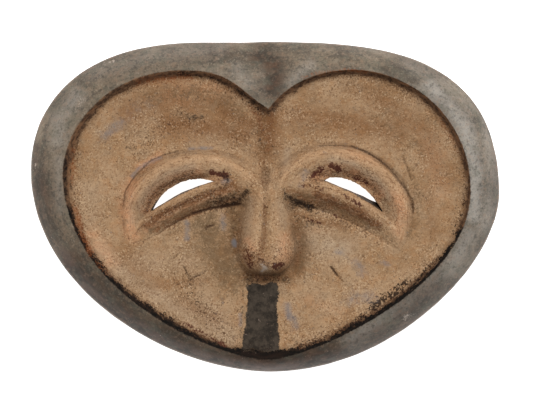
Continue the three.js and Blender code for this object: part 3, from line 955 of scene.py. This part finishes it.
        (0.8, 8, 234, 210, 234, 250), (0.5, 6, 170, 232, 205, 220),
        (0.8, 5, 152, 231, 176, 216, 208, 203, 236, 197), (0.7, 9, 298, 226, 303, 246, 298, 268),
        (0.9, 8, 250, 277, 284, 277), (0.9, 7, 292, 196, 330, 203, 366, 222), (0.5, 6, 366, 222, 392, 240),
        (0.5, 9, 150, 96, 200, 92, 240, 112), (0.5, 9, 262, 118, 264, 150), (0.4, 9, 380, 118, 420, 150),
        (0.5, 6, 410, 170, 420, 205, 410, 236),
    ],
}
print("strokes:", sum(len(laid) for laid in STROKES.values()), "of", len(STROKES), "kinds")

# %% Lay the strokes on the points
# Soot on the slit walls is painted shade inside the slits
SLIT_PAINTED_SHADE = 0.8


def strokes(marks, x, y):
    """How strongly a set of strokes covers each place."""
    cover = np.zeros(x.shape)
    for strength, half, *line in marks:
        d = nearest(from_photo(line), x, y)[0] / (half * MM_PER_PIXEL)
        cover = np.maximum(cover, strength * np.exp(-(d ** 2)))
    return cover


for kind, laid in STROKES.items():
    keep(kind, strokes(laid, fx, fy), 0, slit=SLIT_PAINTED_SHADE if kind == "soot_and_painted_shade" else 0)
print("attributes:", ", ".join(a.name for a in mesh.attributes if a.data_type == "FLOAT"))

# %% [markdown]
# The frame was polished along its length, so its streaks run round it, and the brush followed the brows and
# the lids. A pattern that is stretched along a form needs coordinates that follow the form: the direction
# from the middle and the distance from the rim for the frame, and the place along the nearest crest and the
# distance from it for the eyes.

# %% Coordinates that follow the frame and the eyes
ROUND_FRAME = 137
ACROSS_STRETCH = 4
EYE_STRETCH = 6
LINE_APART = 40
RIDGE_FADE = (0.65, 0.95)

bearing = direction(x, y)
across = -z * ACROSS_STRETCH
across[is_front] = to_rim * ACROSS_STRETCH
ring = np.column_stack([np.cos(bearing), np.sin(bearing)]) * ROUND_FRAME
store("along_frame", np.column_stack([ring, across]) * MM)

along_eye = np.zeros((len(points), 3))
off_crest = np.ones(len(fx))
crests = [(eye["brow_line"], BROW, -eye["side"]) for eye in EYES]
crests += [(eye["lid_line"], LID, eye["side"]) for eye in EYES]
for number, (line, form, outer_side) in enumerate(crests):
    d, share, side = nearest(line, fx, fy)
    off = d / half_width(form, share, side * outer_side)
    apart = np.full(len(fx), number * LINE_APART)
    way = np.column_stack([share * line_length(line), d * side * EYE_STRETCH, apart])
    closer = np.flatnonzero(off < off_crest)
    along_eye[closer] = way[closer]
    off_crest = np.minimum(off_crest, off)
store("along_eye", along_eye * MM)
keep("on_ridge", 1 - smoothstep(off_crest, *RIDGE_FADE), 0)
print("brows and lids cover", round(100 * float((off_crest < 1).mean())), "% of the points of the front")

# %% [markdown]
# ## Paint and patina
# One piece of wood carries every finish, so one material layers them, from the wood up: bare wood with its
# grain, the dark patina of the frame, the dark foot line and stripe, and the ochre coat with its losses.
# Each layer has a cover from 0 to 1 made of a measured distance and some noise, which gives paint edges
# that are ragged but in the right place. All noise reads the object's own coordinates, or those that follow
# its forms, so it stays on the wood.

# %% The material and its nodes
wood = bpy.data.materials.new("carved_wood")
wood.use_nodes = True
tree = wood.node_tree
place = tree.nodes.new("ShaderNodeTexCoord").outputs["Object"]


def add_node(tree, kind, inputs, **settings):
    """Adds a node to a tree, with each input linked to a socket or set to a value."""
    made = tree.nodes.new(kind)
    for name, value in settings.items():
        setattr(made, name, value)
    for name, value in inputs.items():
        if isinstance(value, bpy.types.NodeSocket):
            tree.links.new(value, made.inputs[name])
        else:
            made.inputs[name].default_value = value
    return made


def measured(name, output="Fac"):
    return add_node(tree, "ShaderNodeAttribute", {}, attribute_name=name).outputs[output]


def grain(size, detail=3.0, rough=0.55, stretch=None, where=None, seed=0.0):
    """Noise from 0 to 1 whose patches are about size millimetres across."""
    source = where or place
    if stretch:
        source = add_node(tree, "ShaderNodeMapping", {"Vector": source, "Scale": stretch}).outputs[0]
    inputs = {"Vector": source, "W": seed, "Scale": 1 / (size * MM), "Detail": detail, "Roughness": rough}
    return add_node(tree, "ShaderNodeTexNoise", inputs, noise_dimensions="4D").outputs[0]


print("plain noise reads", place.name, "coordinates")

# %% Sums, fades and coats
def maths(operation, a, b):
    return add_node(tree, "ShaderNodeMath", {0: a, 1: b}, operation=operation).outputs[0]


def plus(a, b):
    return maths("ADD", a, b)


def minus(a, b):
    return maths("SUBTRACT", a, b)


def times(a, b):
    return maths("MULTIPLY", a, b)


def weighed(a, weight_a, b, weight_b):
    return plus(times(a, weight_a), times(b, weight_b))


def fade(value, low, high, start=0.0, end=1.0):
    """Goes smoothly from start to end as the value goes from low to high."""
    inputs = {"Value": value, "From Min": low, "From Max": high, "To Min": start, "To Max": end}
    return add_node(tree, "ShaderNodeMapRange", inputs, interpolation_type="SMOOTHSTEP").outputs[0]


def linear(colour):
    """A colour from 0 to 255, as a paint chart gives it, in the linear values that the nodes work in."""
    if isinstance(colour, bpy.types.NodeSocket):
        return colour
    parts = [v / 255 for v in colour]
    return (*(v / 12.92 if v < 0.04 else ((v + 0.055) / 1.055) ** 2.4 for v in parts), 1)


def coats(colour, *layers):
    """Paints layers over a colour. Each is a colour and its cover, from 0 for none of it to 1 for all."""
    for above, cover in layers:
        inputs = {0: cover, 6: linear(colour), 7: linear(above)}
        colour = add_node(tree, "ShaderNodeMix", inputs, data_type="RGBA").outputs[2]
    return colour


print("mid grey is", round(linear((128, 128, 128))[0], 3), "in linear values")

# %% Bare wood of the back
fibre = grain(9, 4, 0.6, stretch=(5.0, 0.35, 1.0), seed=1)
fine_fibre = grain(2.2, 3, 0.6, stretch=(4.0, 0.25, 1.0), seed=2)
gouged = coats(
    (112, 82, 56),
    ((150, 117, 83), fade(fibre, 0.35, 0.65)),
    ((84, 59, 40), fade(fine_fibre, 0.55, 0.75, 0, 0.6)),
    ((86, 66, 48), fade(grain(40, 3, 0.5, seed=3), 0.4, 0.65, 0, 0.55)),
)
sawn = coats((66, 48, 34), ((92, 70, 50), fade(fibre, 0.4, 0.6)))
bare = coats(sawn, (gouged, times(measured("hollow"), plus(grain(3, 3, 0.6, seed=22), 0.5))))
print("bare wood:", len(tree.nodes), "nodes")

# %% Patina of the frame
frame_way = measured("along_frame", "Vector")
streak = grain(16, 4, 0.6, where=frame_way, seed=4)
cloudy = grain(22, 4, 0.6, seed=5)
mottle = grain(3.2, 4, 0.62, seed=6)
dust = grain(1.2, 3, 0.65, seed=7)
greenish = grain(9, 3, 0.6, seed=17)
dusky = measured("dusky")
patina = coats(
    (88, 77, 64),
    ((120, 106, 89), fade(cloudy, 0.4, 0.6)),
    ((74, 68, 60), fade(streak, 0.48, 0.64, 0, 0.62)),
    ((142, 130, 114), fade(streak, 0.46, 0.34, 0, 0.3)),
    # Painted sheen: a pale, cool shine on the frame
    ((152, 145, 136), times(measured("painted_sheen"), fade(cloudy, 0.3, 0.55, 0.5, 1))),
    ((40, 26, 18), times(dusky, fade(cloudy, 0.3, 0.5, 0.6, 0.9))),
    ((136, 110, 90), fade(mottle, 0.52, 0.64, 0, 0.35)),
    ((60, 56, 50), fade(mottle, 0.48, 0.36, 0, 0.5)),
    ((94, 91, 78), fade(greenish, 0.5, 0.64, 0, 0.4)),
    ((166, 152, 134), times(fade(dust, 0.54, 0.68, 0, 0.35), fade(dusky, 0, 0.8, 1, 0.25))),
    ((84, 56, 40), times(fade(streak, 0.54, 0.42, 0, 0.6), dusky)),
    ((48, 41, 34), fade(dust, 0.46, 0.34, 0, 0.45)),
    ((122, 98, 82), times(fade(measured("from_rim"), 0.6, 2.0, 0.55, 0), fade(mottle, 0.42, 0.62))),
)
print("with the patina:", len(tree.nodes), "nodes")

# %% [markdown]
# The same noise breaks up the foot line, the stripe and the strokes, so that no edge looks drawn. A stroke
# is strongest in its middle, so noise that is added to it eats into its border first.

# %% Ragged edges for every stain
powder = grain(1.15, 3, 0.65, seed=14)
ragged = minus(grain(4.5, 4, 0.7, seed=8), 0.5)
crumb = minus(grain(1.3, 3, 0.75, seed=9), 0.5)
ragged_edge = weighed(ragged, 7.0, crumb, 9.0)
broken = weighed(ragged, 1.8, crumb, 2.4)


def stain(kind, low, high, most=1.0, noise=broken):
    """How much of a stain is left: its strokes, broken up by the noise."""
    return fade(plus(measured(kind), noise), low, high, 0, most)


print("with the ragged noise:", len(tree.nodes), "nodes")

# %% The dark line at the foot of the lip, and the stripe below the nose
lip_fibre = grain(9, 4, 0.65, where=frame_way, seed=10)
char = coats((9, 6, 4), ((36, 25, 18), fade(mottle, 0.5, 0.62)))
dark = coats(
    (70, 50, 36),
    ((108, 80, 58), fade(mottle, 0.42, 0.58)),
    ((130, 92, 64), fade(lip_fibre, 0.48, 0.6, 0, 0.7)),
    (char, stain("charred", 0.2, 0.7, noise=times(ragged, 1.5))),
)
stripe = coats(
    (44, 38, 32),
    ((70, 61, 52), fade(grain(5, 4, 0.65, seed=11), 0.38, 0.62)),
    ((98, 84, 70), fade(dust, 0.58, 0.7, 0, 0.5)),
)
print("with the dark line and the stripe:", len(tree.nodes), "nodes")

# %% [markdown]
# The ochre is earth bound with water. Its tone drifts in patches, the crests are painted lighter as a painted
# highlight, it follows the brush round the lip, and the strokes make it chalky, rosy, thin or dirty, and lay
# painted shade beside and under the nose and painted light on the brows.

# %% Ochre earth on the face
tone = grain(24, 4, 0.6, seed=12)
patch = grain(6, 4, 0.65, seed=13)
brushed = grain(5, 3, 0.6, where=frame_way, seed=18)
# Thinned ochre where it is rubbed, and painted shade beside and under the nose
thin_and_shaded = times(measured("rubbed_and_painted_shade"), fade(patch, 0.25, 0.55, 0.35, 1))
# A dark veil of grime and painted shade beside and under the nose and under the lids
grime_and_shade_veil = times(stain("grime_and_painted_shade", 0, 1, noise=times(broken, 0.9)), fade(tone, 0.3, 0.6, 0.55, 1))
ochre = coats(
    (155, 122, 89),
    ((171, 140, 108), fade(tone, 0.38, 0.62)),
    ((164, 120, 80), fade(patch, 0.5, 0.64, 0, 0.45)),
    ((148, 124, 98), fade(patch, 0.48, 0.36, 0, 0.5)),
    ((134, 100, 68), fade(brushed, 0.5, 0.64, 0, 0.35)),
    # Painted highlight: the crests a lighter ochre
    ((186, 148, 112), fade(measured("crest"), 0.15, 0.8, 0, 0.6)),
    # Chalky smears, and painted light on the nose flanks and under the brows
    ((176, 156, 132), times(measured("chalky_and_painted_light"), fade(patch, 0.35, 0.55, 0.2, 0.8))),
    # Rosy ochre, and painted light on the brows and the nose
    ((206, 150, 110), times(measured("rosy_and_painted_light"), fade(patch, 0.35, 0.6, 0.3, 0.8))),
    ((119, 78, 45), times(thin_and_shaded, 0.9)),
    ((98, 77, 53), times(grime_and_shade_veil, 0.8)),
)
print("with the ochre:", len(tree.nodes), "nodes")

# %% [markdown]
# Umber shows through in flakes where the coat is worn, and where its strokes lie below and to the right of
# the nose it is painted shadow; the brush has left dark and pale licks along the brows and the lids.

# %% Flakes and brush licks
flake = grain(2.8, 4, 0.7, stretch=(0.7, 1.2, 1.0), seed=16)
flecked = weighed(minus(flake, 0.5), 2.6, crumb, 1.8)
umber_and_painted_shade = coats((84, 54, 34), ((126, 84, 54), fade(flake, 0.4, 0.56)))
lick = grain(10, 4, 0.65, where=measured("along_eye", "Vector"), seed=20)
on_ridge = measured("on_ridge")
ochre = coats(
    ochre,
    (umber_and_painted_shade, stain("umber_and_painted_shade", 0.4, 0.85, 0.9, noise=flecked)),
    ((196, 162, 124), fade(flake, 0.54, 0.66, 0, 0.35)),
    ((116, 82, 54), fade(flake, 0.46, 0.34, 0, 0.45)),
    ((110, 72, 46), times(fade(lick, 0.52, 0.66, 0, 0.6), on_ridge)),
    ((200, 162, 128), times(fade(lick, 0.48, 0.34, 0, 0.5), on_ridge)),
)
print("with flakes and licks:", len(tree.nodes), "nodes")

# %% [markdown]
# Seen close, the coat is powder: pale and dark grains, painted shade in the creases, darker paint near the
# lip, specks where a crumb has gone, and pinholes.

# %% Powder, dirt and small losses
pores = grain(0.95, 2, 0.6, seed=15)
pitted = measured("pitted")
past_foot = measured("past_foot_line")
grainy = fade(plus(grain(11, 3, 0.6, seed=19), times(pitted, 0.12)), 0.4, 0.62, 0.25, 1)
grainy = times(grainy, fade(measured("grime_and_painted_shade"), 0, 0.8, 1, 0.5))
near_lip = plus(past_foot, times(ragged, 9.0))
spill = plus(fade(past_foot, 0, 6, 0.12, 0), 0.16)
loss = plus(times(pitted, spill), times(measured("rubbed_and_painted_shade"), 0.07))
specks = plus(weighed(flake, 0.6, crumb, 1.5), loss)
pinholes = plus(pores, times(loss, 0.3))
ochre = coats(
    ochre,
    ((208, 180, 148), times(fade(powder, 0.53, 0.68, 0, 0.72), grainy)),
    ((96, 66, 42), times(fade(powder, 0.47, 0.33, 0, 0.85), grainy)),
    # Painted shade in the creases
    ((82, 54, 34), fade(measured("crease_shade"), 0.5, 1.0, 0, 0.3)),
    ((98, 68, 45), fade(near_lip, -0.5, 4.5, 0.5, 0)),
    ((74, 46, 30), fade(specks, 0.48, 0.6, 0, 0.8)),
    ((74, 48, 32), fade(pinholes, 0.62, 0.7, 0, 0.7)),
)
print("with powder and losses:", len(tree.nodes), "nodes")

# %% [markdown]
# Each coat ends along a line that was measured above, moved a little by the ragged noise. Crumbs, smoke,
# rust, old red, soot, scored lines and scuffs come last, because they lie on every coat; the soot also lays
# painted shade in the deep corners and on the slit walls, and the scored lines lay painted shade along the
# creases.

# %% Lay the coats over one another
on_front = measured("front")
inside_lip = fade(plus(measured("past_lip"), times(ragged_edge, 0.2)), -0.5, 0.3)
lip_streaks = times(minus(lip_fibre, 0.5), 8.0)
on_ochre = fade(plus(plus(past_foot, ragged_edge), lip_streaks), -0.4, 0.4)
on_stripe = fade(plus(measured("stripe"), times(ragged_edge, 0.55)), -0.4, 0.5)
crumbled = measured("crumbled")
clod = times(minus(grain(2.0, 3, 0.7, seed=24), 0.5), 3.2)
crumbs = times(fade(plus(times(crumbled, 0.7), clod), 0.5, 0.66, 0, 0.92), fade(crumbled, 0.03, 0.2))
colour = coats(
    bare,
    (patina, on_front),
    (dark, inside_lip),
    (ochre, on_ochre),
    (stripe, times(on_stripe, on_ochre)),
    ((38, 25, 18), times(crumbs, inside_lip)),
    ((114, 116, 122), stain("smoky", 0.15, 1.1, 0.7, noise=times(ragged, 1.3))),
    ((132, 74, 38), stain("rusty", 0.3, 1.1, 0.75)),
    ((76, 36, 26), stain("dark_red", 0.5, 0.75, 0.92)),
    # Soot: dark smudges, and painted shade in the deep corners and on the slit walls
    ((34, 22, 15), stain("soot_and_painted_shade", 0.25, 1.2, 0.95)),
    # Scored lines: dark cuts, and painted shade along the creases
    ((62, 40, 26), stain("scored_and_crease_shade", 0.25, 0.95, 0.9, noise=times(crumb, 1.1))),
    ((182, 166, 152), stain("scuffed", 0.4, 0.8, 0.8)),
)
print("with all coats:", len(tree.nodes), "nodes")

# %% [markdown]
# The gloss and the fine bump follow the coats: earth pigment is dead matt and granular, the handled frame
# has a soft shine with faint polishing streaks, and the bare back shows open fibres.

# %% Gloss and fine relief
ROUGH_OCHRE = 0.95
ROUGH_BACK = 0.8
SHINE = 0.2
BUMP_STRENGTH = 0.7
BUMP_HEIGHT = 0.5 * MM

rough_frame = fade(streak, 0.3, 0.7, 0.46, 0.62)
roughness = add_node(tree, "ShaderNodeMix", {0: inside_lip, 2: rough_frame, 3: ROUGH_OCHRE}).outputs[0]
roughness = add_node(tree, "ShaderNodeMix", {0: on_front, 2: ROUGH_BACK, 3: roughness}).outputs[0]
grit = times(plus(powder, times(pores, 0.8)), on_ochre)
polish = times(plus(dust, streak), 0.18)
fibres = times(plus(fibre, fine_fibre), minus(1.0, on_front))
height = plus(plus(grit, polish), fibres)
relief_inputs = {"Height": height, "Strength": BUMP_STRENGTH, "Distance": BUMP_HEIGHT}
bump = add_node(tree, "ShaderNodeBump", relief_inputs)
shader = tree.nodes["Principled BSDF"]
shader.inputs["Specular IOR Level"].default_value = SHINE
tree.links.new(colour, shader.inputs["Base Color"])
tree.links.new(roughness, shader.inputs["Roughness"])
tree.links.new(bump.outputs["Normal"], shader.inputs["Normal"])
print("material has", len(tree.nodes), "nodes")

# %% [markdown]
# ## Tool marks and crust
# The knife leaves shallow planes on the frame, the gouge leaves rows of scoops in the hollow, and the earth
# coat is a crust of uneven thickness. All three cover a surface by a rule, so one Geometry Nodes tree makes
# them: it pushes each point along its normal by noise, scoops or grit, wherever the matching attribute
# says. Its inputs are the sizes that a maker would name, and its seed is fixed.

# %% Sizes of the tool marks
SIZES = {
    "Crust height": 0.34 * MM,
    "Crust grain": 2.6 * MM,
    "Plane depth": 0.5 * MM,
    "Plane size": 13 * MM,
    "Scoop depth": 1.1 * MM,
    "Scoop width": 8 * MM,
    "Seed": 4.0,
}
CRUST_DETAIL = 3.0
CRUST_EDGE = {"From Min": -0.5, "From Max": 1.0}
PLANE_DETAIL = 1.0
SCOOP_LENGTH = 2.6
print("sizes:", ", ".join(SIZES))

# %% The tree of tool marks
def tool_marks(finish):
    """The tree, and the identifier of each of its sizes."""
    marks = bpy.data.node_groups.new("tool_marks", "GeometryNodeTree")
    face = marks.interface
    face.new_socket("Geometry", in_out="INPUT", socket_type="NodeSocketGeometry")
    sockets = {name: face.new_socket(name, in_out="INPUT", socket_type="NodeSocketFloat").identifier
               for name in SIZES}
    face.new_socket("Geometry", in_out="OUTPUT", socket_type="NodeSocketGeometry")
    given = marks.nodes.new("NodeGroupInput").outputs
    spot = add_node(marks, "GeometryNodeInputPosition", {}).outputs[0]

    def number(a, b, operation="MULTIPLY"):
        return add_node(marks, "ShaderNodeMath", {0: a, 1: b}, operation=operation).outputs[0]

    def attribute(name):
        found = add_node(marks, "GeometryNodeInputNamedAttribute", {"Name": name}, data_type="FLOAT")
        return found.outputs[0]

    def pattern(size):
        return {"W": given["Seed"], "Scale": number(1.0, given[size], "DIVIDE")}

    def uneven(size, detail, height, where):
        """Noise of a size and a height, in the places that an attribute names."""
        inputs = {"Vector": spot, "Detail": detail, **pattern(size)}
        noise = add_node(marks, "ShaderNodeTexNoise", inputs, noise_dimensions="4D").outputs[0]
        return number(number(number(noise, 0.5, "SUBTRACT"), given[height]), where)

    earth = {"Value": attribute("past_foot_line"), **CRUST_EDGE}
    on_earth = add_node(marks, "ShaderNodeMapRange", earth).outputs[0]
    crust = uneven("Crust grain", CRUST_DETAIL, "Crust height", on_earth)
    planes = uneven("Plane size", PLANE_DETAIL, "Plane depth", attribute("front"))
    squeeze = {0: spot, 1: (1.0, 1 / SCOOP_LENGTH, 1.0)}
    squeezed = add_node(marks, "ShaderNodeVectorMath", squeeze, operation="MULTIPLY").outputs[0]
    inputs = {"Vector": squeezed, **pattern("Scoop width")}
    scoops = add_node(marks, "ShaderNodeTexVoronoi", inputs, voronoi_dimensions="4D", feature="F1")
    away = scoops.outputs["Distance"]
    bowl = number(number(number(away, away), given["Scoop depth"]), attribute("hollow"))
    normal = add_node(marks, "GeometryNodeInputNormal", {}).outputs[0]
    push = {0: normal, "Scale": number(number(crust, planes, "ADD"), bowl, "ADD")}
    offset = add_node(marks, "ShaderNodeVectorMath", push, operation="SCALE").outputs[0]
    moved = add_node(marks, "GeometryNodeSetPosition", {"Geometry": given["Geometry"], "Offset": offset})
    real = add_node(marks, "GeometryNodeRealizeInstances", {"Geometry": moved.outputs[0]})
    finished = add_node(marks, "GeometryNodeSetMaterial", {"Geometry": real.outputs[0], "Material": finish})
    add_node(marks, "NodeGroupOutput", {"Geometry": finished.outputs[0]})
    return marks, sockets


marks, sockets = tool_marks(wood)
print("tree has", len(marks.nodes), "nodes")

# %% Press the tool marks into the skin
modifier = carving.modifiers.new("tool_marks", "NODES")
modifier.node_group = marks
for name, value in SIZES.items():
    modifier[sockets[name]] = value
evaluated = carving.evaluated_get(bpy.context.evaluated_depsgraph_get())
plain = bpy.data.meshes.new_from_object(evaluated)
carving.modifiers.remove(modifier)
carving.data = plain
print("tool marks moved", len(plain.vertices), "points")

# %% [markdown]
# ## Keep the size of the solid
# The tool marks may not make the mask larger than the solid, so every point is held inside the solid's box.
# Edges sharper than a rounded carving has, such as those of the slits, are then marked so that they shade
# crisp.

# %% Hold the points inside the box
SHARP = math.radians(52)

spots = np.empty(len(plain.vertices) * 3, np.float32)
plain.vertices.foreach_get("co", spots)
lowest, highest = np.array(solid_box, np.float32)
plain.vertices.foreach_set("co", np.clip(spots.reshape(-1, 3), lowest, highest).ravel())
plain.set_sharp_from_angle(angle=SHARP)
plain.update()
print("held", len(plain.vertices), "points inside the box")

# %% Put the piece in the frame
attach(carving, "root")
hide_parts("mask")
